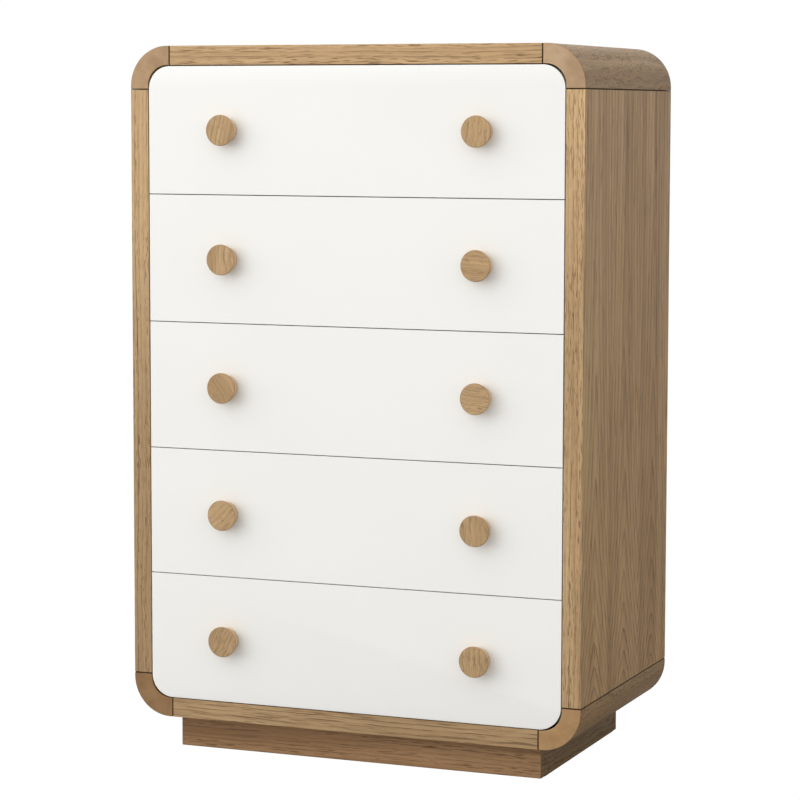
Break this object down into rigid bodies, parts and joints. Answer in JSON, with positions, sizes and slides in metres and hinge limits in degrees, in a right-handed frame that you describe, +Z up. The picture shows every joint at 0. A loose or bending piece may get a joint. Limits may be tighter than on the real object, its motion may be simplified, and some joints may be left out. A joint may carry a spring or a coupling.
{
  "type": "tall chest of drawers",
  "caption": "Tall chest of drawers with a rounded oak case on a set-back plinth, flush white drawer fronts and round wooden knobs; every drawer slides on side runners.",
  "frame": {"origin": "on the floor, at the middle of the overall box, knobs included", "axes": "+X to the right seen from the front, the drawer fronts face -Y, +Z up"},
  "size_m": [0.89, 0.5454, 1.32],
  "materials": {
    "case_oak": "satin, stained oak",
    "knob_oak": "satin, stained oak",
    "white_lacquer": "satin white lacquer on board",
    "drawer_wood": "clear lacquer",
    "plywood": "clear lacquer",
    "runner_steel": "zinc-plated sheet"
  },
  "bodies": {
    "carcass": {"top_panel": "case_oak", "bottom_panel": "case_oak", "side_panel_left": "case_oak", "side_panel_right": "case_oak", "corner_top_left": "case_oak", "corner_top_right": "case_oak", "corner_bottom_left": "case_oak", "corner_bottom_right": "case_oak", "back_panel": "plywood", "plinth_front": "case_oak", "plinth_back": "case_oak", "plinth_left": "case_oak", "plinth_right": "case_oak", "front_rail_lower": "drawer_wood", "front_rail_upper": "drawer_wood", "case_runner_1_left": "runner_steel", "case_runner_1_right": "runner_steel", "case_runner_2_left": "runner_steel", "case_runner_2_right": "runner_steel", "case_runner_3_left": "runner_steel", "case_runner_3_right": "runner_steel", "case_runner_4_left": "runner_steel", "case_runner_4_right": "runner_steel", "case_runner_5_left": "runner_steel", "case_runner_5_right": "runner_steel"},
    "drawer_1": {"drawer_1_front": "white_lacquer", "drawer_1_knob_left": "knob_oak", "drawer_1_knob_right": "knob_oak", "drawer_1_box": "drawer_wood", "drawer_1_bottom": "plywood", "drawer_1_runner_left": "runner_steel", "drawer_1_runner_right": "runner_steel"},
    "drawer_2": {"drawer_2_front": "white_lacquer", "drawer_2_knob_left": "knob_oak", "drawer_2_knob_right": "knob_oak", "drawer_2_box": "drawer_wood", "drawer_2_bottom": "plywood", "drawer_2_runner_left": "runner_steel", "drawer_2_runner_right": "runner_steel"},
    "drawer_3": {"drawer_3_front": "white_lacquer", "drawer_3_knob_left": "knob_oak", "drawer_3_knob_right": "knob_oak", "drawer_3_box": "drawer_wood", "drawer_3_bottom": "plywood", "drawer_3_runner_left": "runner_steel", "drawer_3_runner_right": "runner_steel"},
    "drawer_4": {"drawer_4_front": "white_lacquer", "drawer_4_knob_left": "knob_oak", "drawer_4_knob_right": "knob_oak", "drawer_4_box": "drawer_wood", "drawer_4_bottom": "plywood", "drawer_4_runner_left": "runner_steel", "drawer_4_runner_right": "runner_steel"},
    "drawer_5": {"drawer_5_front": "white_lacquer", "drawer_5_knob_left": "knob_oak", "drawer_5_knob_right": "knob_oak", "drawer_5_box": "drawer_wood", "drawer_5_bottom": "plywood", "drawer_5_runner_left": "runner_steel", "drawer_5_runner_right": "runner_steel"}
  },
  "joints": [
    {"name": "drawer_1_slide", "type": "slide", "parent": "carcass", "child": "drawer_1", "axis": [0, -1, 0], "range_m": [0, 0.3]},
    {"name": "drawer_2_slide", "type": "slide", "parent": "carcass", "child": "drawer_2", "axis": [0, -1, 0], "range_m": [0, 0.3]},
    {"name": "drawer_3_slide", "type": "slide", "parent": "carcass", "child": "drawer_3", "axis": [0, -1, 0], "range_m": [0, 0.3]},
    {"name": "drawer_4_slide", "type": "slide", "parent": "carcass", "child": "drawer_4", "axis": [0, -1, 0], "range_m": [0, 0.3]},
    {"name": "drawer_5_slide", "type": "slide", "parent": "carcass", "child": "drawer_5", "axis": [0, -1, 0], "range_m": [0, 0.3]}
  ]
}
